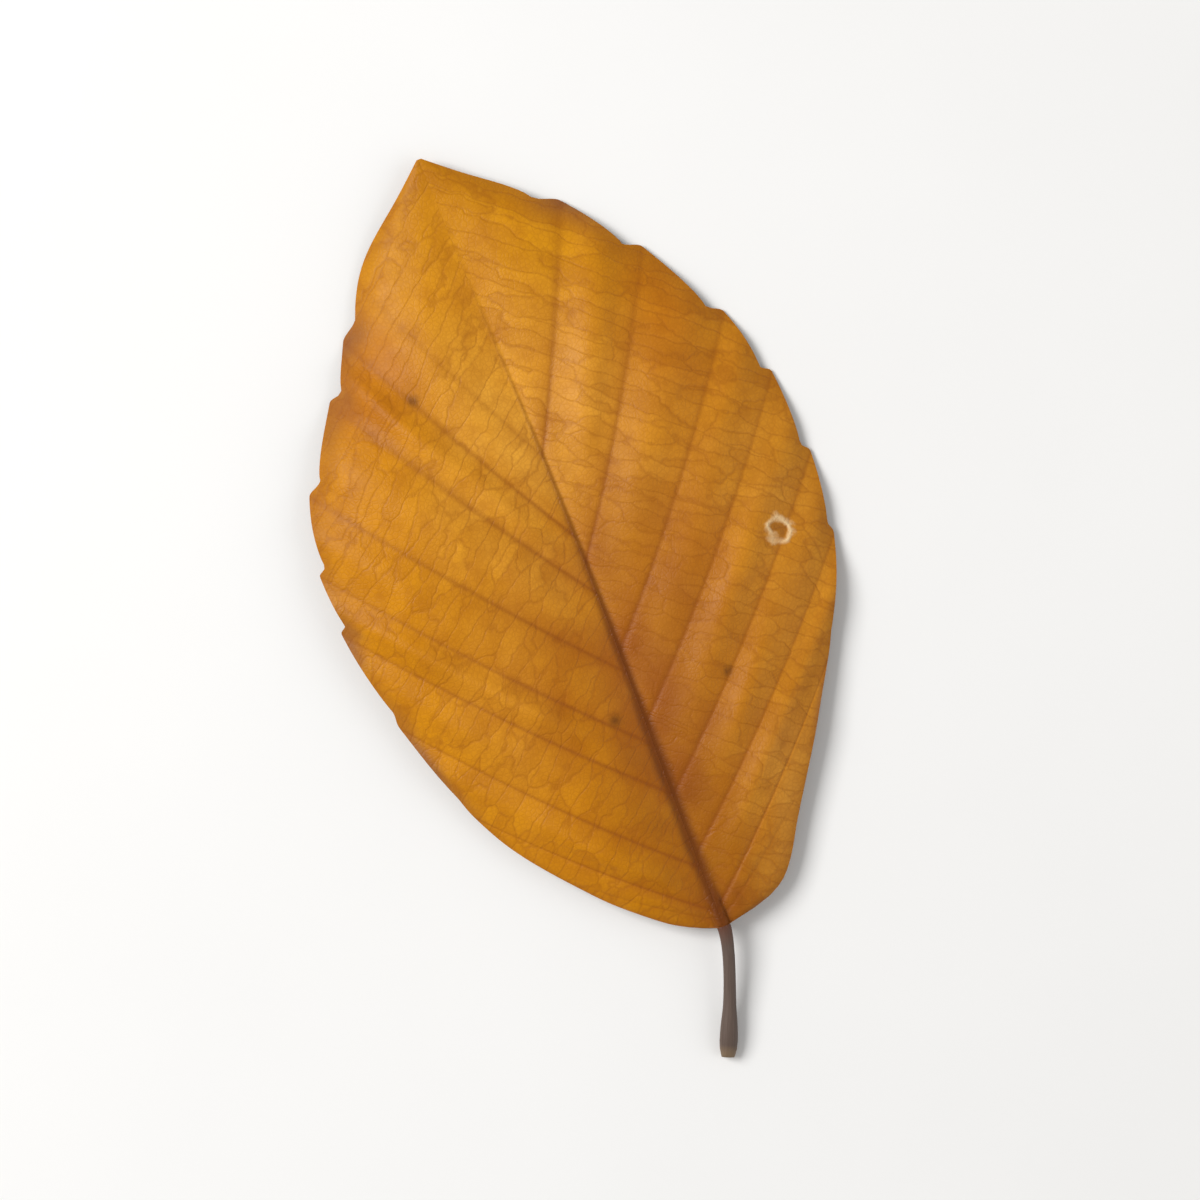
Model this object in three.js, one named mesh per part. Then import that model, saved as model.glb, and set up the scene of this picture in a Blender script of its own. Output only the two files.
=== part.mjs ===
// One autumn leaf of the common beech, picked with its stalk and lying upper face up.
// The blade, its midrib and the stalk grew as one piece, so they are one closed solid.
// Millimetres, +Z up, tip towards +Y. The origin is under the middle of the leaf, on the surface it lies on.

import * as THREE from 'three';
import { mergeVertices } from 'three/addons/utils/BufferGeometryUtils.js';

// Blade
const BLADE_LENGTH = 70;
const BLADE_THICKNESS = 0.25;
const MIDRIB_RADIUS_AT_BASE = 0.6;
const MIDRIB_RADIUS_AT_TIP = 0.2;
const KEEL_DEPTH_AT_BASE = 0.48;
const KEEL_DEPTH_AT_TIP = 0.05;

// Half width of the blade beside each point of the midrib, both as shares of the blade length.
const RIGHT_HALF_WIDTH = [
  [0, MIDRIB_RADIUS_AT_BASE / BLADE_LENGTH],
  [0.01, 0.058],
  [0.03, 0.093],
  [0.09, 0.133],
  [0.2, 0.202],
  [0.35, 0.279],
  [0.49, 0.297],
  [0.65, 0.277],
  [0.8, 0.2],
  [0.91, 0.108],
  [1, 0.003],
];
const LEFT_HALF_WIDTH = [
  [0, MIDRIB_RADIUS_AT_BASE / BLADE_LENGTH],
  [0.01, 0.033],
  [0.03, 0.066],
  [0.09, 0.132],
  [0.2, 0.218],
  [0.35, 0.273],
  [0.5, 0.298],
  [0.65, 0.276],
  [0.8, 0.175],
  [0.91, 0.103],
  [1, 0.003],
];

// The midrib bows a little to the right between the base and the tip.
const MIDRIB_BOW = 0.5;

// Where each side vein meets the margin, as a share of the blade length. Every vein ends in a tooth.
const RIGHT_VEIN_ENDS = [0.25, 0.385, 0.487, 0.595, 0.685, 0.795, 0.885];
const LEFT_VEIN_ENDS = [0.23, 0.36, 0.489, 0.564, 0.66, 0.758, 0.822];

// Where a line along the veins leaves the midrib, for each share where it meets the margin.
const VEIN_STARTS = [
  [0, 0],
  [0.2, 0.014],
  [0.3, 0.04],
  [0.487, 0.17],
  [0.685, 0.355],
  [0.885, 0.61],
  [1, 1],
];
const VEIN_BOW = 0.15;
const TOOTH_LENGTH = 0.85;
const TOOTH_STEP_SHARE = 0.22;
const TOOTH_ROUNDNESS = 0.6;
const TOOTH_DIRECTION = THREE.MathUtils.degToRad(45);
const TEETH_GROW_OVER = [0.08, 0.5];
const TEETH_FADE_OVER = [0.88, 0.97];

// Relief of the blade. A pair gives the shares between which something changes.
const MIDRIB_HEIGHT_AT_BASE = 0.7;
const MIDRIB_CLIMB = 3.84;
const MIDRIB_DROOP = 4.29;
const HALF_LIFT = 0.15;
const MARGIN_DROOP = 0.215;
const LIFT_LEFT_AT_TIP = 0.3;
const LIFT_FADES_OVER = [0.55, 1];
const SIDEWAYS_LEAN = 0.025;
const MARGIN_WAVE = 0.6;
const MARGIN_WAVES = 1.3;
const RIGHT_WAVE_START = 0.1;
const LEFT_WAVE_START = 0.55;
const WAVE_GROWS_OVER = [0, 0.3];
const WAVE_FADES_OVER = [0.8, 1];
const PLEAT_HEIGHT = 0.45;
const PLEATS_RISE_FROM_MIDRIB = [0.03, 0.4];
const PLEATS_GROW_OVER = [0.05, 0.3];
const PLEATS_FADE_OVER = [0.85, 1];
const CROWN_FADES_OVER = [0, 0.07];

// Stalk
const STALK_LENGTH = 11.5;
const STALK_STRAIGHT = 2.2;
const STALK_CORNER_HEIGHT = 0.9 * MIDRIB_HEIGHT_AT_BASE;
const STALK_BEND = THREE.MathUtils.degToRad(24);
const STALK_FOOT_HEIGHT = -0.9;

// Radius of the stalk at each share of its length, from the scar at its foot to the blade.
const STALK_RADIUS = [
  [0, 0.56],
  [0.05, 0.76],
  [0.14, 0.74],
  [0.28, 0.56],
  [0.6, 0.52],
  [1, MIDRIB_RADIUS_AT_BASE],
];

// Fineness of the faceted solid
const STALK_ROWS = 12;
const BLADE_ROWS = 74;
const COLUMNS = 20;
const COLUMN_POWER = 1.5;

const { clamp, lerp, smoothstep } = THREE.MathUtils;

// 1 before the start, 0 after the end.
function fall(value, start, end) {
  return 1 - smoothstep(value, start, end);
}

// A smooth curve through a few [at, value] points.
function through(points, at) {
  const last = points.length - 1;
  let i = 0;
  while (i < last - 1 && at > points[i + 1][0]) i += 1;
  const slope = (j) => {
    const before = points[Math.max(j - 1, 0)];
    const after = points[Math.min(j + 1, last)];
    return (after[1] - before[1]) / (after[0] - before[0]);
  };
  const [x0, y0] = points[i];
  const [x1, y1] = points[i + 1];
  const span = x1 - x0;
  const u = (at - x0) / span;
  const rest = 1 - u;
  const ends = y0 * rest * rest * (1 + 2 * u) + y1 * u * u * (3 - 2 * u);
  return ends + span * u * rest * (slope(i) * rest - slope(i + 1) * u);
}

function halfWidth(share, side) {
  const points = side > 0 ? RIGHT_HALF_WIDTH : LEFT_HALF_WIDTH;
  return BLADE_LENGTH * through(points, clamp(share, 0, 1));
}

// Which vein a margin point belongs to: whole numbers at the vein ends, fractions between them.
function veinCount(vein_ends, share) {
  const points = [0, ...vein_ends, 1].map((end, i) => [end, i]);
  return through(points, share);
}

// The margin swells out roundly to a tooth at each vein end, then steps back in just above it.
function toothReach(veins, share) {
  const past = veins - Math.floor(veins);
  const stepping = fall(past, 0, TOOTH_STEP_SHARE);
  const growing = clamp((past - TOOTH_STEP_SHARE) / (1 - TOOTH_STEP_SHARE), 0, 1) ** TOOTH_ROUNDNESS;
  const size = TOOTH_LENGTH * smoothstep(share, ...TEETH_GROW_OVER) * fall(share, ...TEETH_FADE_OVER);
  return size * Math.max(stepping, growing);
}

// Height of the middle of the blade's thickness: an arched midrib, two lifted halves with drooping margins,
// and a slight lean to the right that sets both margins down.
function bladeHeight(x, share, side) {
  const width = halfWidth(share, side);
  const out = Math.abs(x) / width;
  const midrib = MIDRIB_HEIGHT_AT_BASE + MIDRIB_CLIMB * share - MIDRIB_DROOP * share ** 2;
  const lift = HALF_LIFT * lerp(1, LIFT_LEFT_AT_TIP, smoothstep(share, ...LIFT_FADES_OVER));
  const half = width * (lift * out - MARGIN_DROOP * out ** 3);
  const start = side > 0 ? RIGHT_WAVE_START : LEFT_WAVE_START;
  const wave = MARGIN_WAVE * out ** 2 * Math.sin(2 * Math.PI * (MARGIN_WAVES * share + start));
  const waving = smoothstep(share, ...WAVE_GROWS_OVER) * fall(share, ...WAVE_FADES_OVER);
  return midrib + half + wave * waving - SIDEWAYS_LEAN * x;
}

// The blade is laid out in rows that run like its side veins, from the midrib to the margin.
// The row and the column say where a point lies, and the face is +1 on top and -1 underneath.
function bladePoint(row, column, face) {
  const side = Math.sign(column) || 1;
  const veins = veinCount(side > 0 ? RIGHT_VEIN_ENDS : LEFT_VEIN_ENDS, row);
  const reach = toothReach(veins, row);
  const end_x = halfWidth(row, side) + reach * Math.cos(TOOTH_DIRECTION);
  const end_y = BLADE_LENGTH * row + reach * Math.sin(TOOTH_DIRECTION);
  const start_y = BLADE_LENGTH * through(VEIN_STARTS, row);

  const along = Math.abs(column) ** COLUMN_POWER;
  const x = side * along * end_x;
  const y = lerp(start_y, end_y, (along + VEIN_BOW * along ** 2) / (1 + VEIN_BOW));
  const share = y / BLADE_LENGTH;

  const rising = smoothstep(along, ...PLEATS_RISE_FROM_MIDRIB);
  const pleat = PLEAT_HEIGHT * rising * Math.sin(Math.PI * veins) ** 2;
  const fading = smoothstep(row, ...PLEATS_GROW_OVER) * fall(row, ...PLEATS_FADE_OVER);
  const middle = bladeHeight(x, Math.min(share, 1), side) + pleat * fading;
  const bow = MIDRIB_BOW * Math.sin(Math.PI * clamp(share, 0, 1)) ** 2;
  return new THREE.Vector3(x + bow, y, middle + face * thicknessTo(face, Math.abs(x), share));
}

// Half the thickness: thin in the blade, with the midrib standing out below and, near the stalk, above too.
function thicknessTo(face, x, share) {
  const radius = lerp(MIDRIB_RADIUS_AT_BASE, MIDRIB_RADIUS_AT_TIP, clamp(share, 0, 1));
  const round = Math.sqrt(Math.max(0, 1 - (x / radius) ** 2));
  const skin = BLADE_THICKNESS / 2;
  const crown = (MIDRIB_RADIUS_AT_BASE - skin) * fall(share, ...CROWN_FADES_OVER);
  const keel = lerp(KEEL_DEPTH_AT_BASE, KEEL_DEPTH_AT_TIP, clamp(share, 0, 1));
  return skin + round * (face > 0 ? crown : keel);
}

// The stalk leaves the blade in line with the midrib, then bends aside and sinks to the surface.
const stalk_corner = new THREE.Vector3(0, -STALK_STRAIGHT, STALK_CORNER_HEIGHT);
const stalk_line = new THREE.QuadraticBezierCurve3(
  new THREE.Vector3(
    -Math.sin(STALK_BEND) * (STALK_LENGTH - STALK_STRAIGHT),
    -STALK_STRAIGHT - Math.cos(STALK_BEND) * (STALK_LENGTH - STALK_STRAIGHT),
    STALK_FOOT_HEIGHT,
  ),
  stalk_corner,
  new THREE.Vector3(0, 0, MIDRIB_HEIGHT_AT_BASE),
);

function stalkPoint(row, column, face) {
  const middle = stalk_line.getPoint(row);
  const ahead = stalk_line.getTangent(row);
  const across = new THREE.Vector3(ahead.y, -ahead.x, 0).normalize();
  const radius = through(STALK_RADIUS, row);
  const out = Math.sign(column) * Math.abs(column) ** COLUMN_POWER;
  const skin = BLADE_THICKNESS / 2;
  const depth = skin + (radius - skin) * Math.sqrt(1 - out ** 2);
  return middle.addScaledVector(across, out * radius).setZ(middle.z + face * depth);
}

// A box with many rows and columns, each corner of which is moved to its place on the leaf.
function leafGeometry() {
  const rows = STALK_ROWS + BLADE_ROWS;
  const box = new THREE.BoxGeometry(2, rows, 2, COLUMNS, rows, 1);
  box.deleteAttribute('normal');
  box.deleteAttribute('uv');
  const leaf = mergeVertices(box, 1e-3);
  const corners = leaf.attributes.position;
  for (let i = 0; i < corners.count; i += 1) {
    const column = corners.getX(i);
    const row = corners.getY(i) + rows / 2 - STALK_ROWS;
    const face = corners.getZ(i);
    const point = row < 0
      ? stalkPoint(1 + row / STALK_ROWS, column, face)
      : bladePoint(row / BLADE_ROWS, column, face);
    corners.setXYZ(i, point.x, point.y, point.z);
  }
  return leaf;
}

// Moves a shape so that its lowest point is at height 0 and its box is centred on the origin.
function standOnOrigin(geometry) {
  geometry.computeBoundingBox();
  const { min, max } = geometry.boundingBox;
  geometry.translate(-(min.x + max.x) / 2, -(min.y + max.y) / 2, -min.z);
  geometry.computeVertexNormals();
  return geometry;
}

const leaf = new THREE.Mesh(
  standOnOrigin(leafGeometry()),
  new THREE.MeshStandardMaterial({ color: 0xc4802a, roughness: 0.55, metalness: 0 }),
);
leaf.name = 'beech_leaf';

const part = new THREE.Group();
part.add(leaf);

export default part;
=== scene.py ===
# %% [markdown]
# # An autumn beech leaf
# A single leaf of the common beech, picked with its stalk and laid upper face up on a pale table.
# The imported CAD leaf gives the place, the length and the lie. Here the same leaf is grown again with fine
# rows along its side veins, so that ribs, grooves and teeth are real shape, and it gets its autumn colours.

# %% Load the frame
import math

import bmesh
import bpy
import numpy as np
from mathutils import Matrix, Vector, noise
from mathutils.bvhtree import BVHTree


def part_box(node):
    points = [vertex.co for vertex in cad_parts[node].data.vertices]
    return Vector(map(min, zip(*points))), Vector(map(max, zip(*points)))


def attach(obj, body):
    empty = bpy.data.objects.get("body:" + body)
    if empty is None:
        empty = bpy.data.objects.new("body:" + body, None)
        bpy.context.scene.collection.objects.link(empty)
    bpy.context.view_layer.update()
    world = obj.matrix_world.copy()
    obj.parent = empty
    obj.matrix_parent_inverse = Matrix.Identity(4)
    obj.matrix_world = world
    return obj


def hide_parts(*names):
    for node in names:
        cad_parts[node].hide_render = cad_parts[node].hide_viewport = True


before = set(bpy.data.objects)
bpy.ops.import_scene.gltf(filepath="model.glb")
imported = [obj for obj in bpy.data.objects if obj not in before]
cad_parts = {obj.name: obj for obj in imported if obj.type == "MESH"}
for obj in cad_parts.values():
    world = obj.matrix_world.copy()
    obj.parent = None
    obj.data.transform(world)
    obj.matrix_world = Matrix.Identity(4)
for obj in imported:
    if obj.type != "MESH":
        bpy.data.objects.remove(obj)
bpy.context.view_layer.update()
low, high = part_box("beech_leaf")
leaf_length = high.y - low.y
print("the leaf with its stalk is", round(leaf_length * 1000, 1), "mm long")

# %% [markdown]
# ## A blank sheet
# A leaf is a thin closed sheet: an upper face, a lower face and a rim between them. A grid extruded once is
# exactly that. Its rows will follow the side veins and its columns will run from the midrib to the margin,
# so a vein is a row of corners that can be raised, which a grid laid straight across the leaf couldn't give.

# %% Make the blank
STALK_ROWS = 26
BLADE_ROWS = 276
COLUMNS = 140

blank = bmesh.new()
bmesh.ops.create_grid(blank, x_segments=COLUMNS, y_segments=STALK_ROWS + BLADE_ROWS, size=1)
lower_sheet = list(blank.faces)
raised = bmesh.ops.extrude_face_region(blank, geom=lower_sheet, use_keep_orig=True)["geom"]
upper_sheet = [part for part in raised if isinstance(part, bmesh.types.BMFace)]
upper_corners = [part for part in raised if isinstance(part, bmesh.types.BMVert)]
bmesh.ops.translate(blank, verts=upper_corners, vec=(0, 0, 1))
bmesh.ops.recalc_face_normals(blank, faces=blank.faces[:])
print("the blank has", len(blank.verts), "corners and", len(blank.faces), "faces")

# %% [markdown]
# ## The outline
# Beech leaves are oval, widest in the middle, with a short point and a base that narrows quickly to the
# stalk. The two halves are never quite alike. Each half is a smooth line through a few widths.

# %% Outline values, as shares of the blade's length
BLADE = 70.0
MIDRIB_RADIUS_AT_BASE = 0.6
MIDRIB_RADIUS_AT_TIP = 0.2
BASE_WIDTH = MIDRIB_RADIUS_AT_BASE / BLADE
RIGHT_HALF = [(0, BASE_WIDTH), (0.01, 0.058), (0.03, 0.093), (0.09, 0.133), (0.2, 0.202), (0.35, 0.279),
              (0.49, 0.297), (0.65, 0.277), (0.8, 0.2), (0.91, 0.108), (1, 0.003)]
LEFT_HALF = [(0, BASE_WIDTH), (0.01, 0.033), (0.03, 0.066), (0.09, 0.132), (0.2, 0.218), (0.35, 0.273),
             (0.5, 0.298), (0.65, 0.276), (0.8, 0.175), (0.91, 0.103), (1, 0.003)]
MIDRIB_BOW = 0.5


def through(points, at):
    """A smooth line through a few (place, value) points, read at many places."""
    places, values = np.array(points, float).T
    last = len(places) - 1
    after = np.minimum(np.arange(last + 1) + 1, last)
    before = np.maximum(np.arange(last + 1) - 1, 0)
    slope = (values[after] - values[before]) / (places[after] - places[before])
    i = np.clip(np.searchsorted(places, at) - 1, 0, last - 1)
    span = places[i + 1] - places[i]
    u = (at - places[i]) / span
    rest = 1 - u
    ends = values[i] * rest**2 * (1 + 2 * u) + values[i + 1] * u**2 * (3 - 2 * u)
    return ends + span * u * rest * (slope[i] * rest - slope[i + 1] * u)


def rise(value, start, end):
    """0 before the start, 1 after the end, and a smooth slope between."""
    u = np.clip((value - start) / (end - start), 0, 1)
    return u * u * (3 - 2 * u)


def fall(value, start, end):
    """1 before the start, 0 after the end, and a smooth slope between."""
    return 1 - rise(value, start, end)


def half_width(share, right):
    """The blade's width on one side of the midrib, at a share of its length."""
    share = np.clip(share, 0, 1)
    return BLADE * np.where(right, through(RIGHT_HALF, share), through(LEFT_HALF, share))


print("width in mm:", round(float(half_width(0.49, True) + half_width(0.5, False)), 1))

# %% [markdown]
# ## Veins and teeth
# Seven side veins leave the midrib on each side, in turn rather than in pairs, and run almost straight to
# the margin. Each ends in a low tooth: the margin swells out roundly to the vein's end, then steps back.
# A row is named by where it meets the margin, and a vein is simply a row with a known name.

# %% Rows, veins and teeth
RIGHT_VEINS = [0.25, 0.385, 0.487, 0.595, 0.685, 0.795, 0.885]
LEFT_VEINS = [0.23, 0.36, 0.489, 0.564, 0.66, 0.758, 0.822]
FAINT_RIGHT_VEINS = [0.13, 0.945]
FAINT_LEFT_VEINS = [0.12, 0.885, 0.945]
VEIN_STARTS = [(0, 0), (0.2, 0.014), (0.3, 0.04), (0.487, 0.17), (0.685, 0.355), (0.885, 0.61), (1, 1)]
TOOTH_LENGTH = 0.85
TOOTH_STEP = 0.22
TOOTH_ROUNDNESS = 0.6
TOOTH_SLANT = math.radians(45)
TEETH_GROW_OVER = (0.08, 0.5)
TEETH_FADE_OVER = (0.88, 0.97)
VEIN_BOW = 0.15


def vein_count(row, veins):
    """Whole numbers at the vein ends, and fractions between them."""
    return through([(end, i) for i, end in enumerate([0, *veins, 1])], row)


def tooth_reach(count, row):
    """How far the margin stands out of its smooth outline."""
    past = count - np.floor(count)
    stepping = fall(past, 0, TOOTH_STEP)
    growing = np.clip((past - TOOTH_STEP) / (1 - TOOTH_STEP), 0, 1) ** TOOTH_ROUNDNESS
    size = TOOTH_LENGTH * rise(row, *TEETH_GROW_OVER) * fall(row, *TEETH_FADE_OVER)
    return size * np.maximum(stepping, growing)


def lay_row(row, along, right):
    """Where a point lies seen from above: its distance out and its y, then how far sideways the row runs
    there for each millimetre of it, the row's length, and the count of veins."""
    count = np.where(right, vein_count(row, RIGHT_VEINS), vein_count(row, LEFT_VEINS))
    reach = tooth_reach(count, row)
    end_x = half_width(row, right) + reach * math.cos(TOOTH_SLANT)
    end_y = BLADE * row + reach * math.sin(TOOTH_SLANT)
    start_y = BLADE * through(VEIN_STARTS, row)
    climb = (along + VEIN_BOW * along**2) / (1 + VEIN_BOW)
    steepness = (end_y - start_y) * (1 + 2 * VEIN_BOW * along) / (1 + VEIN_BOW)
    length = np.hypot(end_x, steepness)
    return along * end_x, start_y + (end_y - start_y) * climb, end_x / length, length, count


print("side veins:", len(RIGHT_VEINS), "right and", len(LEFT_VEINS), "left")

# %% [markdown]
# ## Rows where they are needed
# A rib is only half a millimetre wide, so the rows crowd together at the veins and spread between them.
# The crowding is a density that is summed up and read backwards.

# %% Place the rows and columns
COLUMN_POWER = 1.5
VEIN_CROWD_WIDTH = 0.0065
VEIN_CROWDING = 5

fine = np.linspace(0, 1, 4001)  # far finer than the rows, so that the sum is exact enough
density = np.ones_like(fine)
for vein in RIGHT_VEINS + LEFT_VEINS:
    density += VEIN_CROWDING * np.exp(-(((fine - vein) / VEIN_CROWD_WIDTH) ** 2))
summed = np.cumsum(density) - density[0]
blade_rows = np.interp(np.linspace(0, summed[-1], BLADE_ROWS + 1), summed, fine)
stalk_rows = np.linspace(-1, 0, STALK_ROWS, endpoint=False)
row_names = np.concatenate([stalk_rows, blade_rows])

blank.verts.ensure_lookup_table()
grid = np.array([corner.co for corner in blank.verts])
column = grid[:, 0]
row = row_names[np.rint((grid[:, 1] + 1) / 2 * (len(row_names) - 1)).astype(int)]
upper = grid[:, 2] > 0.5
right = column >= 0
along = np.abs(column) ** COLUMN_POWER
in_blade = row >= 0
print("rows", len(row_names), "closest together", round(float(np.diff(blade_rows).min() * BLADE), 3), "mm")

# %% [markdown]
# ## The lie of the leaf
# A beech leaf that dries is never flat. Its midrib arches, the two halves lift from it and droop again
# towards their margins, and the blade stays pleated between the veins as it was in the bud.

# %% Height of the middle of the sheet
MIDRIB_HEIGHT = 0.7
MIDRIB_CLIMB = 3.84
MIDRIB_DROOP = 4.29
HALF_LIFT = 0.15
MARGIN_DROOP = 0.215
LIFT_LEFT_AT_TIP = 0.3
LIFT_FADES_OVER = (0.55, 1)
SIDEWAYS_LEAN = 0.025
MARGIN_WAVE = 0.6
MARGIN_WAVES = 1.3
RIGHT_WAVE_START = 0.1
LEFT_WAVE_START = 0.55
WAVE_GROWS_OVER = (0, 0.3)
WAVE_FADES_OVER = (0.8, 1)
PLEAT_HEIGHT = 0.45
PLEATS_RISE_FROM_MIDRIB = (0.03, 0.4)
PLEATS_GROW_OVER = (0.05, 0.3)
PLEATS_FADE_OVER = (0.85, 1)

blade_row = np.maximum(row, 0)
side = np.where(right, 1, -1)
x, y, across_vein, vein_length, count = lay_row(blade_row, along, right)
from_midrib = x * side
share = np.clip(y / BLADE, 0, 1)
width = half_width(share, right)
out = x / width
midrib_line = MIDRIB_HEIGHT + MIDRIB_CLIMB * share - MIDRIB_DROOP * share**2
wave_start = np.where(right, RIGHT_WAVE_START, LEFT_WAVE_START)
wave = MARGIN_WAVE * out**2 * np.sin(2 * np.pi * (MARGIN_WAVES * share + wave_start))
lift = HALF_LIFT * (1 + (LIFT_LEFT_AT_TIP - 1) * rise(share, *LIFT_FADES_OVER))
height = midrib_line + width * (lift * out - MARGIN_DROOP * out**3) - SIDEWAYS_LEAN * from_midrib
height += wave * rise(share, *WAVE_GROWS_OVER) * fall(share, *WAVE_FADES_OVER)
fading = rise(blade_row, *PLEATS_GROW_OVER) * fall(blade_row, *PLEATS_FADE_OVER)
pleat = PLEAT_HEIGHT * rise(along, *PLEATS_RISE_FROM_MIDRIB) * np.sin(np.pi * count) ** 2 * fading
print("midrib", round(float(midrib_line.max()), 2), "mm high, pleats", round(float(pleat.max()), 2), "mm")

# %% [markdown]
# Living tissue is uneven as well. Some pleats stay fuller than others, and a little smooth noise, a few
# tenths of a millimetre, lets the light run over the blade in patches.

# %% Unevenness
BUMP_SPACING = 11.0
BUMP_OCTAVES = ((1, 1.0), (2.3, 0.5), (5.6, 0.2))
BUMP_HEIGHT = 0.16
PLEAT_VARIES = (0.83, 2.2, 7.3)  # per vein, along the vein, and from half to half
FULLEST_PLEAT = 1.15
FLATTEST_PLEAT = 0.35
FULLNESS_SPREAD = (-0.5, 0.5)
BUMPS_RISE_FROM_MIDRIB = (0.3, 3)

places = np.column_stack([from_midrib, y, np.zeros_like(x)])
uneven = np.array([
    sum(weight * noise.noise(Vector(place) * finer / BUMP_SPACING) for finer, weight in BUMP_OCTAVES)
    for place in places
])
pleat_places = np.column_stack([count, along, side]) * PLEAT_VARIES
fullness = np.array([noise.noise(place) for place in pleat_places])
height += pleat * (FLATTEST_PLEAT + (FULLEST_PLEAT - FLATTEST_PLEAT) * rise(fullness, *FULLNESS_SPREAD))
height += BUMP_HEIGHT * uneven * rise(x, *BUMPS_RISE_FROM_MIDRIB)
print("the blade lies between", round(float(height.min()), 2), "and", round(float(height.max()), 2), "mm")

# %% [markdown]
# ## Ribs and grooves
# On the real leaf a vein is a shallow groove above and a rounded rib below. The midrib is the same, only
# larger, and at its foot it rises through the blade and becomes the stalk. The distance from each point
# to the nearest side vein is measured here once, because both the shape and the colours need it.

# %% Distance to the nearest side vein, and the strength of that vein
FAINT = 0.45

gap = np.full_like(x, BLADE)
vein_strength = np.ones_like(x)
for ends, on_right, strength in (
    (RIGHT_VEINS, True, 1.0), (LEFT_VEINS, False, 1.0),
    (FAINT_RIGHT_VEINS, True, FAINT), (FAINT_LEFT_VEINS, False, FAINT),
):
    for end in ends:
        vein_y = lay_row(np.full_like(x, end), along, right)[1]
        distance = np.where(right == on_right, np.abs(y - vein_y) * across_vein, BLADE)
        vein_strength = np.where(distance < gap, strength, vein_strength)
        gap = np.minimum(gap, distance)
print("half of the corners lie within", round(float(np.median(gap[in_blade])), 2), "mm of a side vein")

# %% [markdown]
# The midrib is a rod that the blade passes through. Its upper half stands proud only near the stalk and soon
# sinks into the blade. Its lower half is the keel, which thins out slowly towards the tip.

# %% The midrib's round body
SKIN = 0.125
KEEL_AT_BASE = 0.48
KEEL_AT_TIP = 0.05
CROWN_FADES_OVER = (0, 0.07)

midrib_radius = MIDRIB_RADIUS_AT_BASE + (MIDRIB_RADIUS_AT_TIP - MIDRIB_RADIUS_AT_BASE) * share
round_section = np.sqrt(np.maximum(0, 1 - (x / midrib_radius) ** 2))
crown = (MIDRIB_RADIUS_AT_BASE - SKIN) * fall(share, *CROWN_FADES_OVER)
keel = KEEL_AT_BASE + (KEEL_AT_TIP - KEEL_AT_BASE) * share
above = SKIN + round_section * crown
below = SKIN + round_section * keel
print("the midrib is", round(float((above + below)[in_blade].max()), 2), "mm thick where it meets the stalk")

# %% [markdown]
# Seen from above, the midrib lies in a groove with a fine raised cord along its middle. Each is a soft ridge
# across the line it follows, and it starts a little above the stalk, where the midrib has sunk in.

# %% The groove over the midrib
GROOVE_DEPTH = 0.16
GROOVE_WIDTH = 0.5
CORD_HEIGHT = 0.1
CORD_WIDTH = 0.17
GROOVE_STARTS_OVER = (0.03, 0.12)
GROOVE_FADES_OVER = (0.5, 0.95)
CORD_FADES_OVER = (0.5, 1)

groove_start = rise(share, *GROOVE_STARTS_OVER)
groove = np.exp(-((x / GROOVE_WIDTH) ** 2)) * groove_start * fall(share, *GROOVE_FADES_OVER)
cord = np.exp(-((x / CORD_WIDTH) ** 2)) * groove_start * fall(share, *CORD_FADES_OVER)
above += CORD_HEIGHT * cord - GROOVE_DEPTH * groove
print("the groove is", GROOVE_DEPTH, "mm deep and the cord in it", CORD_HEIGHT, "mm high")

# %% [markdown]
# The side veins get the same treatment at a smaller size, and they thin out towards the margin.

# %% Ribs below and furrows above the side veins
RIB_HEIGHT = 0.2
RIB_WIDTH = 0.24
FURROW_DEPTH = 0.08
FURROW_WIDTH = 0.3
THINNER_AT_MARGIN = 0.65
MIDRIB_BORDER = (0.1, 0.7)

thinning = 1 - THINNER_AT_MARGIN * along
rib = np.exp(-((gap / (RIB_WIDTH * thinning)) ** 2)) * vein_strength * thinning
furrow = np.exp(-((gap / FURROW_WIDTH) ** 2)) * vein_strength * thinning
beside_midrib = rise(x, *MIDRIB_BORDER)
above -= FURROW_DEPTH * furrow * beside_midrib
below += RIB_HEIGHT * rib * beside_midrib
blade_z = height + np.where(upper, above, -below)
print("the ribs stand", round(float((RIB_HEIGHT * rib * beside_midrib).max()), 2), "mm out of the underside")

# %% [markdown]
# ## The stalk
# The stalk leaves the blade in line with the midrib, bends a little aside and ends in a thickened foot,
# where the leaf let go of its twig. Its rows are rings round one smooth bend, so it needs no joint with the
# blade: the sheet simply narrows and thickens into it.

# %% Bend the stalk's rows
STALK = 11.5
STALK_STRAIGHT = 2.2
STALK_CORNER_HEIGHT = 0.9 * MIDRIB_HEIGHT
STALK_BEND = math.radians(24)
FOOT_HEIGHT = -0.9
STALK_RADIUS = [(0, 0.56), (0.05, 0.76), (0.14, 0.74), (0.28, 0.56), (0.6, 0.52), (1, MIDRIB_RADIUS_AT_BASE)]

run = STALK - STALK_STRAIGHT
foot = np.array([-math.sin(STALK_BEND) * run, -STALK_STRAIGHT - math.cos(STALK_BEND) * run, FOOT_HEIGHT])
corner = np.array([0, -STALK_STRAIGHT, STALK_CORNER_HEIGHT])
top = np.array([0, 0, MIDRIB_HEIGHT])

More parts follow.
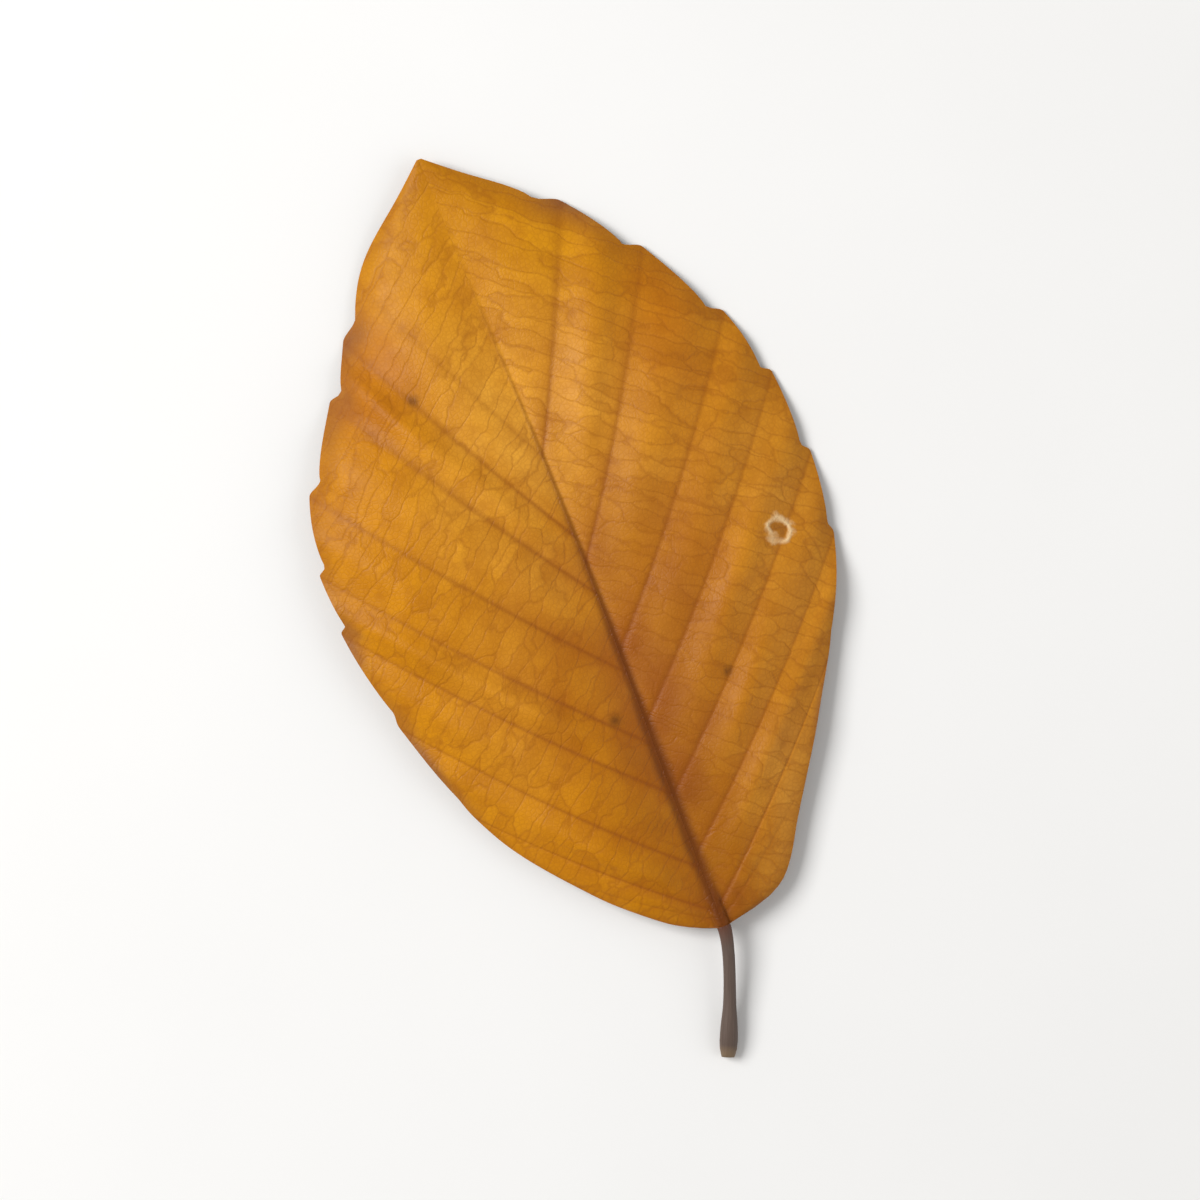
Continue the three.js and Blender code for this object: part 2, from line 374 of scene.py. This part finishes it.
step = np.clip(1 + row, 0, 1)[:, None]
line = foot * (1 - step) ** 2 + corner * 2 * step * (1 - step) + top * step**2
heading = (corner - foot) * (1 - step) + (top - corner) * step
across = np.column_stack([heading[:, 1], -heading[:, 0]]) / np.hypot(heading[:, 0], heading[:, 1])[:, None]
radius = through(STALK_RADIUS, step[:, 0])
depth = SKIN + (radius - SKIN) * np.sqrt(np.maximum(0, 1 - along**2))
stalk_xy = line[:, :2] + across * (side * along * radius)[:, None]
stalk_z = line[:, 2] + np.where(upper, depth, -depth)
print("the stalk sinks", round(MIDRIB_HEIGHT - FOOT_HEIGHT, 1), "mm from the blade to its foot")

# %% [markdown]
# ## Lay it in the frame
# The leaf has been drawn in millimetres from the foot of its blade. It is now set to the length that the
# frame gives, centred and put down on the table, and compared with the CAD leaf point by point.

# %% Fit the drawing to the frame
drawn = np.column_stack([
    np.where(in_blade, x * side + MIDRIB_BOW * np.sin(np.pi * share) ** 2, stalk_xy[:, 0]),
    np.where(in_blade, y, stalk_xy[:, 1]),
    np.where(in_blade, blade_z, stalk_z),
])
drawn_low, drawn_high = drawn.min(0), drawn.max(0)
scale = leaf_length / (drawn_high[1] - drawn_low[1])
origin = np.array([*(drawn_low[:2] + drawn_high[:2]) / 2, drawn_low[2]])
placed = (drawn - origin) * scale
print("one drawn millimetre is", round(float(scale * 1000), 4), "mm in the frame")

for vertex, place in zip(blank.verts, placed):
    vertex.co = place

# %% [markdown]
# Each face is told which surface it belongs to: the upper skin, the underside or the stalk. The blade's rim
# is only a quarter of a millimetre high, but it is cut sharply, so its edges are marked to stay crisp while
# everything else is shaded smoothly.

# %% Surfaces and crisp rim
UPPER_SLOT, LOWER_SLOT, STALK_SLOT = 0, 1, 2

row_of = dict(zip(blank.verts, row))
upper_faces, lower_faces = set(upper_sheet), set(lower_sheet)
for face in blank.faces:
    face.smooth = True
    face.material_index = UPPER_SLOT if face in upper_faces else LOWER_SLOT
    if min(row_of[vertex] for vertex in face.verts) < 0:
        face.material_index = STALK_SLOT

rim_faces = [face for face in blank.faces if face not in upper_faces and face not in lower_faces]
rim_edges = {edge for face in rim_faces for edge in face.edges}
for edge in rim_edges:
    on_sheet = any(face in upper_faces or face in lower_faces for face in edge.link_faces)
    if on_sheet and min(row_of[vertex] for vertex in edge.verts) >= 0:
        edge.smooth = False
print("faces on the rim:", len(rim_faces))

# %% [markdown]
# The finished sheet becomes one object that rides on the part's only body and stands for its CAD leaf.

# %% Hand the leaf to the frame
leaf_mesh = bpy.data.meshes.new("grown_leaf")
blank.to_mesh(leaf_mesh)
blank.free()
leaf = bpy.data.objects.new("grown_leaf", leaf_mesh)
bpy.context.scene.collection.objects.link(leaf)
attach(leaf, "root")
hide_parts("beech_leaf")

cad_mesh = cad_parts["beech_leaf"].data
cad_tree = BVHTree.FromPolygons([v.co for v in cad_mesh.vertices], [p.vertices for p in cad_mesh.polygons])
EVERY = 7  # measured at every seventh corner, which is close enough together
apart = [cad_tree.find_nearest(Vector(place))[3] * 1000 for place in placed[::EVERY]]
print("apart from the CAD leaf: mean", round(float(np.mean(apart)), 3), "most", round(max(apart), 3), "mm")

# %% [markdown]
# ## What the colours follow
# Autumn colour follows the leaf's own plan: it browns first along the veins and at the margin. A painted
# picture of that would have to be fitted to the veins. Numbers kept on the mesh's corners fit by
# themselves, because the corners lie along the veins, and every material can read them by name.

# %% Places on the leaf, kept as vectors
VEIN_SLANT = math.radians(40)
FACE_STEP = 3  # keeps the patterns of the two faces apart
SIDE_STEP = 10.0  # keeps the patterns of the two halves apart

stalk_way = np.clip(row, -1, 0) * STALK
along_vein = x * math.sin(VEIN_SLANT) + y * math.cos(VEIN_SLANT)
kept_vectors = {
    "leaf_mm": np.column_stack([from_midrib, np.where(in_blade, y, stalk_way), FACE_STEP * upper]),
    "vein_way": np.column_stack([along_vein, count, SIDE_STEP * side]),
}
for name, values in kept_vectors.items():
    layer = leaf_mesh.attributes.new(name, "FLOAT_VECTOR", "POINT")
    layer.data.foreach_set("vector", values.astype(np.float32).ravel())
print("places kept:", {name: values.shape for name, values in kept_vectors.items()})

# %% [markdown]
# The dark lines come first: the midrib, which is broadest at the stalk, the side veins, the soft brown
# stain that has spread from both into the blade, and the dried margin.

# %% Lines, each 1 in its middle and 0 beside it
MIDRIB_LINE = [(0, 1.15), (0.3, 0.75), (0.6, 0.4), (1, 0.16)]
MIDRIB_LINE_FADES_OVER = (0.3, 0.95)
VEIN_LINE_WIDTH = 0.17
STAIN_WIDTH = 1.1
STAIN_FADES_OVER = (0.1, 0.8)
HALO_WIDTH = 2.6
HALO_SHIFT = 0.8  # the brown has spread further into the right half
HALO_FADES_OVER = (0.28, 0.66)
MARGIN_WIDTH = 1.1
MARGIN_SLANT = 0.72  # the rows meet the margin aslant, so it is nearer than they are long

line_width = through(MIDRIB_LINE, share) * (1 + 0.3 * uneven)
margin_gap = (1 - along) * vein_length * MARGIN_SLANT
lines = {
    "midrib_line": fall(x, 0.1 * line_width, line_width) * fall(share, *MIDRIB_LINE_FADES_OVER),
    "midrib_halo": np.exp(-(((from_midrib - HALO_SHIFT) / HALO_WIDTH) ** 2)) * fall(share, *HALO_FADES_OVER),
    "vein_line": np.exp(-((gap / VEIN_LINE_WIDTH) ** 2)) * vein_strength * (1 - 0.5 * along),
    "vein_stain": np.exp(-((gap / STAIN_WIDTH) ** 2)) * vein_strength * fall(along, *STAIN_FADES_OVER),
    "margin": np.exp(-((margin_gap / MARGIN_WIDTH) ** 2)),
}
print("the midrib's line is", 2 * MIDRIB_LINE[0][1], "mm wide at the stalk")

# %% [markdown]
# The broad zones are soft oval patches, each a centre and a reach in millimetres. The left half is golden,
# the right half is tanned and carries a painted sheen, brown has spread along the midrib in the lower half,
# and the tip is the yellowest part. Some patches are painted light, lifting the shade where the blade's fold
# turns it away from the window light.

# %% Zones of colour
def patch(centre, reach):
    """1 in the middle of a soft oval patch and 0 well outside it."""
    away = ((from_midrib - centre[0]) / reach[0]) ** 2 + ((y - centre[1]) / reach[1]) ** 2
    return np.exp(-away)


zones = {
    "golden_left": rise(-from_midrib, -1, 4),
    "yellow_tip": rise(share, 0.62, 0.92),
    # painted light: brightens the blade beside the midrib around its middle, against the shade of the fold
    "painted_light_panels": patch((-3, 41), (5, 16)) + 0.45 * patch((5, 45), (4, 8)) + 0.5 * patch((-9, 40), (3, 5)),
    "orange_left": patch((-5, 21), (4.5, 13)),
    # partly the tan of dying tissue, partly a painted sheen over the right half
    "tan_and_sheen_right": patch((4, 23), (8, 15)),
    "rusty_shoulder": patch((14, 49), (4, 8)) + 1.5 * patch((-11, 54), (4, 5)) + patch((10, 31), (3, 4)),
    "brown_foot": patch((0.6, 5), (5, 12)),
    # the patch at the right of the base is painted light, lifting the shade where the blade turns down away
    # from the window light; the other two are paler patches
    "painted_light_and_pale_patches": patch((9.5, 8), (4, 7)) + 0.7 * patch((-11, 24), (4, 8)) + 0.6 * patch((15, 32), (4, 6)),
}
dry_places = ((-10.5, 57.5, 2.5), (-13, 51.5, 3), (-20.5, 34, 2), (-17.5, 23, 5), (10, 62, 3), (16, 14, 2.5))
zones["dry_edge"] = lines["margin"] * sum(patch((px, py), (reach, reach)) for px, py, reach in dry_places)
speck_places = ((-2.4, 19.6, 0.5), (-8.3, 51, 0.45), (8, 20, 0.4))
zones["specks"] = sum(patch((px, py), (reach, reach)) for px, py, reach in speck_places)
for name, values in {**lines, **zones}.items():
    layer = leaf_mesh.attributes.new(name, "FLOAT", "POINT")
    layer.data.foreach_set("value", values.astype(np.float32))
print("masks on the mesh:", list(lines) + list(zones))

# %% [markdown]
# ## Materials
# Every material below is a tree of nodes. Two helpers carry them all: one turns a colour given as an sRGB
# hex value into the linear colour that the shader wants, and one adds a node with its settings and links.
# Longer recipes, such as laying one colour over another, are written with these two.

# %% Two helpers
def colour(hex_value):
    """Turns an sRGB hex value into linear red, green and blue, and an alpha of 1."""
    parts = [int(hex_value[i:i + 2], 16) / 255 for i in (1, 3, 5)]
    linear = [p / 12.92 if p <= 0.04045 else ((p + 0.055) / 1.055) ** 2.4 for p in parts]
    return (*linear, 1)


def add(tree, kind, inputs=(), **settings):
    """Adds a node with its settings. An input is a number, a colour, a socket, or a node's first output."""
    node = tree.nodes.new("ShaderNode" + kind)
    for setting, value in settings.items():
        setattr(node, setting, value)
    for socket, value in dict(inputs).items():
        if isinstance(value, bpy.types.Node):
            value = next(output for output in value.outputs if output.enabled)
        if isinstance(value, bpy.types.NodeSocket):
            tree.links.new(value, node.inputs[socket])
        else:
            node.inputs[socket].default_value = value
    return node


print("golden orange is", [round(part, 3) for part in colour("#CE8420")])

# %% [markdown]
# ### Laying colour on colour
# A painter's way of building a surface: start with one colour and lay others over it, each only where its
# mask says. A little noise in the mask makes the borders ragged, as the borders of browning tissue are.

# %% Laying colour on colour
MIX_FACTOR, MIX_UNDER, MIX_OVER, MIX_RESULT = 0, 6, 7, 2


def lay_over(tree, under, mask, over, strength, ragged=None):
    """Lays a colour over another where the mask is near 1. The mask is a node, a socket or a mesh name."""
    if isinstance(mask, str):
        mask = add(tree, "Attribute", attribute_name=mask).outputs["Fac"]
    if ragged:
        swing = add(tree, "Math", {0: mask, 1: ragged}, operation="MULTIPLY")
        mask = add(tree, "Math", {0: mask, 1: swing}, operation="ADD")
    soft = add(tree, "MapRange", {0: mask, 1: 0, 2: 1, 3: 0, 4: strength})
    mixed = add(tree, "Mix", {MIX_FACTOR: soft, MIX_UNDER: under, MIX_OVER: colour(over)}, data_type="RGBA")
    return mixed.outputs[MIX_RESULT]


def clouds(tree, spacing, least, most):
    """Patches about that many millimetres wide, as numbers between the least and the most."""
    place = add(tree, "Attribute", attribute_name="leaf_mm")
    cloud = add(tree, "TexNoise", {"Vector": place.outputs["Vector"], "Scale": 1 / spacing, "Detail": 4})
    return add(tree, "MapRange", {0: cloud, 1: 0.3, 2: 0.7, 3: least, 4: most})


print("a mix node's sockets:", MIX_FACTOR, MIX_UNDER, MIX_OVER, MIX_RESULT)

# %% [markdown]
# ### The fine net of veins
# Between two side veins, thin cross veins run like the rungs of a ladder, about 1.3 mm apart, and the
# panels between the rungs hold a net with meshes of about 0.4 mm. The rungs are the edges of cells that are
# stretched from vein to vein, and the net is the edges of small round cells. Both the upper and the lower
# face need them, so one function makes them.

# %% Cross veins and net
RUNG_SPACING = 1.3
NET_MESH = 0.42
PANELS_PER_GAP = 1.1
WOBBLE_SCALE = 0.45
RUNG_LINE = 0.09
NET_LINE = 0.22
RUNG_RELIEF = 0.6
NET_RELIEF = 0.35


def fine_veins(tree):
    """Masks that are 1 on the rungs and on the net, and one with a shade of its own for each panel."""
    way = add(tree, "Attribute", attribute_name="vein_way")
    place = add(tree, "Attribute", attribute_name="leaf_mm")
    wobble = add(tree, "TexNoise", {"Vector": place.outputs["Vector"], "Scale": WOBBLE_SCALE, "Detail": 2})
    shaken = add(tree, "VectorMath", {0: way.outputs["Vector"], 1: wobble.outputs["Color"]}, operation="ADD")
    stretch = (1 / RUNG_SPACING, PANELS_PER_GAP, 1)
    stretched = add(tree, "VectorMath", {0: shaken, 1: stretch}, operation="MULTIPLY")
    rungs = add(tree, "TexVoronoi", {"Vector": stretched, "Scale": 1}, feature="DISTANCE_TO_EDGE")
    rung_range = {0: rungs, 1: 0, 2: RUNG_LINE, 3: 1, 4: 0}
    rung_line = add(tree, "MapRange", rung_range, interpolation_type="SMOOTHSTEP")
    cells = add(tree, "TexVoronoi", {"Vector": place.outputs["Vector"], "Scale": 1 / NET_MESH},
                feature="DISTANCE_TO_EDGE")
    net_range = {0: cells, 1: 0, 2: NET_LINE, 3: 1, 4: 0}
    net_line = add(tree, "MapRange", net_range, interpolation_type="SMOOTHSTEP")
    shades = add(tree, "TexVoronoi", {"Vector": stretched, "Scale": 1}, feature="F1").outputs["Color"]
    panel_shade = add(tree, "SeparateXYZ", {0: shades}).outputs["X"]
    return rung_line, net_line, panel_shade


def vein_bump(tree, rungs, net, height, raised):
    """The fine veins as relief, raised below the leaf and sunk above it."""
    relief = add(tree, "Math", {0: rungs, 1: RUNG_RELIEF}, operation="MULTIPLY")
    relief = add(tree, "Math", {0: net, 1: NET_RELIEF, 2: relief}, operation="MULTIPLY_ADD")
    return add(tree, "Bump", {"Height": relief, "Distance": height, "Strength": 1}, invert=not raised)


print("rungs every", RUNG_SPACING, "mm and a net of", NET_MESH, "mm")

# %% [markdown]
# ### A healed bite
# Near the right margin an insect once bit into the young leaf. The wound closed with a low rim of cork round
# a hollow. The rim's pale colour is partly cork and partly a painted highlight, and the hollow's brown is
# partly painted shade. Modelled, it would be a few corners across. As a mask it can have a ragged edge finer
# than the mesh, and the same mask raises it in the bump.

# %% A healed bite
SCAR_PLACE = (16.3, 29.5, FACE_STEP)
SCAR_RADIUS = 1.0
SCAR_RIM = 0.5
SCAR_HEIGHT = 0.00008
SCAR_CORE = 0.3
SCAR_SHAKE = 1.6
SHAKE_SCALE = 0.9
SCAR_BREAKS = (1.1, 0.35, 1)


def healed_bite(tree):
    """A small ragged scar: the mask of its raised rim, broken in places, and that of its hollow. The rim's
    pale colour is partly a painted highlight, the hollow's brown partly painted shade.
    """
    place = add(tree, "Attribute", attribute_name="leaf_mm").outputs["Vector"]
    shake = add(tree, "TexNoise", {"Vector": place, "Scale": SHAKE_SCALE, "Detail": 3}).outputs["Color"]
    swing = (SCAR_SHAKE, SCAR_SHAKE, 0)
    shaken = add(tree, "VectorMath", {0: shake, 1: swing, 2: place}, operation="MULTIPLY_ADD")
    centre = (SCAR_PLACE[0] + SCAR_SHAKE / 2, SCAR_PLACE[1] + SCAR_SHAKE / 2, SCAR_PLACE[2])
    away = add(tree, "VectorMath", {0: shaken, 1: centre}, operation="DISTANCE").outputs["Value"]
    from_rim = add(tree, "Math", {0: away, 1: SCAR_RADIUS}, operation="SUBTRACT")
    from_rim = add(tree, "Math", {0: from_rim}, operation="ABSOLUTE")
    rim = add(tree, "MapRange", {0: from_rim, 1: 0, 2: SCAR_RIM, 3: 1, 4: 0}, interpolation_type="SMOOTHSTEP")
    highlit_broken_rim = add(tree, "Math", {0: rim, 1: clouds(tree, *SCAR_BREAKS)}, operation="MULTIPLY")
    hollow = add(tree, "MapRange", {0: away, 1: SCAR_CORE, 2: SCAR_RADIUS, 3: 1, 4: 0})
    return highlit_broken_rim, hollow


print("the scar is", round(2 * (SCAR_RADIUS + SCAR_RIM), 1), "mm across")

# %% [markdown]
# ### The upper face
# Beech leaves have a thin waxy skin above: a satin gloss, brighter on the convex panels than in the
# furrows. Dried autumn tissue is golden orange where it is freshest and tan to red-brown where it has died.
# The broad zones go on first, with ragged borders, then the patches and panels, and the lines come last.
# Some zones are painted light or painted sheen, and the scar's rim carries a painted highlight.

# %% Upper face
LEAF_IOR = 1.4
RAG = (4, -0.35, 0.35)  # spacing in mm, least and most, as in every call of clouds
BROAD_MOTTLE = (6, -0.6, 1.2)
FINE_MOTTLE = (1.7, -0.5, 1.0)
GLOSS_SPACING = 2.5
UPPER_BUMP = 0.000028
WAX_ROUGHNESS = (0.36, 0.52)
WAX_GLOSS = 0.2  # dull, as the wax of a drying leaf is


def upper_face():
    """The upper skin: autumn colour with some painted light, sheen and highlight, under a thin dull wax, with
    sunken fine veins.
    """
    material = bpy.data.materials.new("waxy_autumn_leaf_skin")
    material.use_nodes = True
    tree = material.node_tree
    tree.nodes.clear()
    rungs, net, panels = fine_veins(tree)
    rag = clouds(tree, *RAG)
    base = colour("#CE8822")
    for mask, shade, strength in (
        ("golden_left", "#D08700", 0.9),
        ("yellow_tip", "#D48F04", 0.85),
        # painted light, lifting the shade that the fold casts beside the midrib
        ("painted_light_panels", "#F0AC3A", 0.9),
        ("rusty_shoulder", "#B8680A", 0.6),
        # tan of the dying tissue together with a painted sheen on the right half
        ("orange_left", "#B66C00", 0.75),
        ("tan_and_sheen_right", "#A05C1C", 0.75),
        ("midrib_halo", "#96501A", 0.75),
        ("brown_foot", "#733A04", 0.75),
        # painted light at the right of the base, and paler patches
        ("painted_light_and_pale_patches", "#DE9A36", 0.6),
        ("vein_stain", "#99500F", 0.35),
        ("margin", "#8E5312", 0.4),
        ("dry_edge", "#8A5C3A", 0.9),
    ):
        base = lay_over(tree, base, mask, shade, strength, rag)

    rim, hollow = healed_bite(tree)
    for mask, shade, strength in (
        (clouds(tree, *BROAD_MOTTLE), "#D68C0C", 0.3),
        (clouds(tree, *FINE_MOTTLE), "#A15A08", 0.3),
        (panels, "#9C5608", 0.3),
        (net, "#94520F", 0.14),
        (rungs, "#8F4C10", 0.26),
        ("vein_line", "#85430F", 0.55),
        ("midrib_line", "#64300A", 0.85),
        ("specks", "#5E3410", 0.8),
        # brown of the hollow, partly painted shade
        (hollow, "#96591A", 0.6),
        # pale cork of the rim with a painted highlight on it
        (rim, "#F4D4A2", 0.95),
    ):
        base = lay_over(tree, base, mask, shade, strength)

    wax = clouds(tree, GLOSS_SPACING, *WAX_ROUGHNESS)
    raised_rim = add(tree, "Bump", {"Height": rim, "Distance": SCAR_HEIGHT, "Strength": 1})
    bump = vein_bump(tree, rungs, net, UPPER_BUMP, raised=False)
    tree.links.new(raised_rim.outputs[0], bump.inputs["Normal"])
    finish = {"Roughness": wax, "IOR": LEAF_IOR, "Specular IOR Level": WAX_GLOSS, "Normal": bump}
    shader = add(tree, "BsdfPrincipled", {"Base Color": base, **finish})
    add(tree, "OutputMaterial", {"Surface": shader})
    return material


leaf_mesh.materials.append(upper_face())
print("upper face:", len(leaf_mesh.materials[0].node_tree.nodes), "nodes")

# %% [markdown]
# ### The lower face
# Underneath there is no wax. The skin is paler and matt, and every vein, down to the net, stands out as a
# fine brown line.

# %% Lower face
LOWER_BUMP = 0.00006
MATT_ROUGHNESS = (0.62, 0.75)


def lower_face():
    """The underside: paler and matt, with darker veins that stand out."""
    material = bpy.data.materials.new("matt_leaf_underside")
    material.use_nodes = True
    tree = material.node_tree
    tree.nodes.clear()
    rungs, net, panels = fine_veins(tree)
    rag = clouds(tree, *RAG)
    base = colour("#B98546")
    for mask, shade, strength in (
        ("golden_left", "#BF8B45", 0.7),
        ("yellow_tip", "#C4904E", 0.6),
        ("orange_left", "#A8712F", 0.7),
        ("tan_and_sheen_right", "#A37038", 0.7),
        ("brown_foot", "#8C582C", 0.7),
        ("midrib_halo", "#9A6432", 0.5),
        ("margin", "#956028", 0.4),
    ):
        base = lay_over(tree, base, mask, shade, strength, rag)
    for mask, shade, strength in (
        (clouds(tree, *FINE_MOTTLE), "#9C6A36", 0.25),
        (panels, "#A06E38", 0.25),
        (net, "#9A6430", 0.3),
        (rungs, "#8E5826", 0.4),
        ("vein_line", "#84501F", 0.75),
        ("midrib_line", "#79451F", 0.8),
    ):
        base = lay_over(tree, base, mask, shade, strength)

    matt = clouds(tree, GLOSS_SPACING, *MATT_ROUGHNESS)
    bump = vein_bump(tree, rungs, net, LOWER_BUMP, raised=True)
    finish = {"Roughness": matt, "IOR": LEAF_IOR, "Normal": bump}
    shader = add(tree, "BsdfPrincipled", {"Base Color": base, **finish})
    add(tree, "OutputMaterial", {"Surface": shader})
    return material


leaf_mesh.materials.append(lower_face())
print("lower face:", len(leaf_mesh.materials[1].node_tree.nodes), "nodes")

# %% [markdown]
# ### The stalk
# The stalk is woodier than the blade: grey-brown, dull, with fine ridges along it. It is red-brown where it
# runs into the midrib, and at its foot a paler cork closes the scar. Ridges on straight coordinates would
# run aslant where the stalk bends, so they are drawn on the kept places, which bend with it.

# %% Stalk
RIDGE_SPACING = 0.12
RIDGE_LENGTH = 2.5
RIDGE_RELIEF = 0.00005
REDDENING = 3.5
CORK = (0.7, 0.1)


def stalk_bark():
    """Dry grey-brown bark with fine ridges along the stalk."""
    material = bpy.data.materials.new("dry_leaf_stalk")
    material.use_nodes = True
    tree = material.node_tree
    tree.nodes.clear()
    place = add(tree, "Attribute", attribute_name="leaf_mm").outputs["Vector"]
    ridge_scale = (1 / RIDGE_SPACING, 1 / RIDGE_LENGTH, 1)
    drawn_out = add(tree, "VectorMath", {0: place, 1: ridge_scale}, operation="MULTIPLY")
    ridges = add(tree, "TexNoise", {"Vector": drawn_out, "Scale": 1, "Detail": 3}).outputs["Fac"]
    up = add(tree, "SeparateXYZ", {0: place}).outputs["Y"]
    at_blade = add(tree, "MapRange", {0: up, 1: -REDDENING, 2: 0, 3: 0, 4: 1})
    at_scar = add(tree, "MapRange", {0: up, 1: CORK[0] - STALK, 2: CORK[1] - STALK, 3: 0, 4: 1})
    base = lay_over(tree, colour("#4A3A32"), ridges, "#705E52", 0.8)
    base = lay_over(tree, base, at_blade, "#5E3018", 0.9)
    base = lay_over(tree, base, at_scar, "#8C7355", 0.8)
    bump = add(tree, "Bump", {"Height": ridges, "Distance": RIDGE_RELIEF, "Strength": 1})
    finish = {"Roughness": 0.58, "IOR": 1.45, "Normal": bump}
    shader = add(tree, "BsdfPrincipled", {"Base Color": base, **finish})
    add(tree, "OutputMaterial", {"Surface": shader})
    return material


leaf_mesh.materials.append(stalk_bark())
print("materials:", [material.name for material in leaf_mesh.materials])

# %% [markdown]
# ## The table and the light
# The leaf lies on a plain pale table in soft light from the upper left, as beside a window on a cloudy day.

# %% Table
TABLE_HALF = 0.6
PAINT_PATCHES = 30.0  # to a metre

table_sheet = bmesh.new()
bmesh.ops.create_grid(table_sheet, x_segments=1, y_segments=1, size=TABLE_HALF)
table_mesh = bpy.data.meshes.new("table")
table_sheet.to_mesh(table_mesh)
table_sheet.free()
table = bpy.data.objects.new("table", table_mesh)
bpy.context.scene.collection.objects.link(table)

table_paint = bpy.data.materials.new("pale_table_paint")
table_paint.use_nodes = True
tree = table_paint.node_tree
tree.nodes.clear()
place = add(tree, "TexCoord").outputs["Object"]
cloud = add(tree, "TexNoise", {"Vector": place, "Scale": PAINT_PATCHES, "Detail": 3}).outputs["Fac"]
tone = lay_over(tree, colour("#EFEEEC"), cloud, "#F4F3F1", 1)
paint = add(tree, "BsdfPrincipled", {"Base Color": tone, "Roughness": 0.7})
add(tree, "OutputMaterial", {"Surface": paint})
table_mesh.materials.append(table_paint)
print("the table is", 2 * TABLE_HALF, "m wide")

# %% [markdown]
# A long lens high above the table shows the leaf without distortion. The camera looks straight down and is
# turned a little, so that the leaf leans to the left.

# %% Camera
LEAN = math.radians(21.7)
CAMERA_LENS = 100.0
CAMERA_HEIGHT = 0.285

camera_data = bpy.data.cameras.new("camera")
camera_data.lens = CAMERA_LENS
camera_data.clip_start = 0.005
camera = bpy.data.objects.new("camera", camera_data)
camera.location = (0, 0, CAMERA_HEIGHT)
camera.rotation_euler = (0, 0, -LEAN)
bpy.context.scene.collection.objects.link(camera)
bpy.context.scene.camera = camera
print("the camera hangs", CAMERA_HEIGHT, "m above the table")

# %% [markdown]
# A small leaf is lit best by large lamps: a broad one from the upper left models the pleats, a broader and
# weaker one opposite lightens the shadows, and a pale room fills in the rest.

# %% Lights
def soft_light(name, place, size, power):
    """A square soft light that looks at the leaf."""
    data = bpy.data.lights.new(name, "AREA")
    data.size = size
    data.energy = power
    light = bpy.data.objects.new(name, data)
    light.location = place
    light.rotation_euler = (-Vector(place)).to_track_quat("-Z", "Y").to_euler()
    bpy.context.scene.collection.objects.link(light)


soft_light("window_left", place=(-0.36, 0.3, 0.5), size=0.35, power=4.2)
soft_light("fill_right", place=(0.5, -0.3, 0.45), size=0.6, power=1.1)

ROOM_LIGHT = 0.36
world = bpy.data.worlds.new("room")
world.use_nodes = True
room = world.node_tree.nodes["Background"]
room.inputs["Color"].default_value = colour("#FFFFFF")
room.inputs["Strength"].default_value = ROOM_LIGHT
bpy.context.scene.world = world
bpy.context.scene.view_settings.view_transform = "Standard"
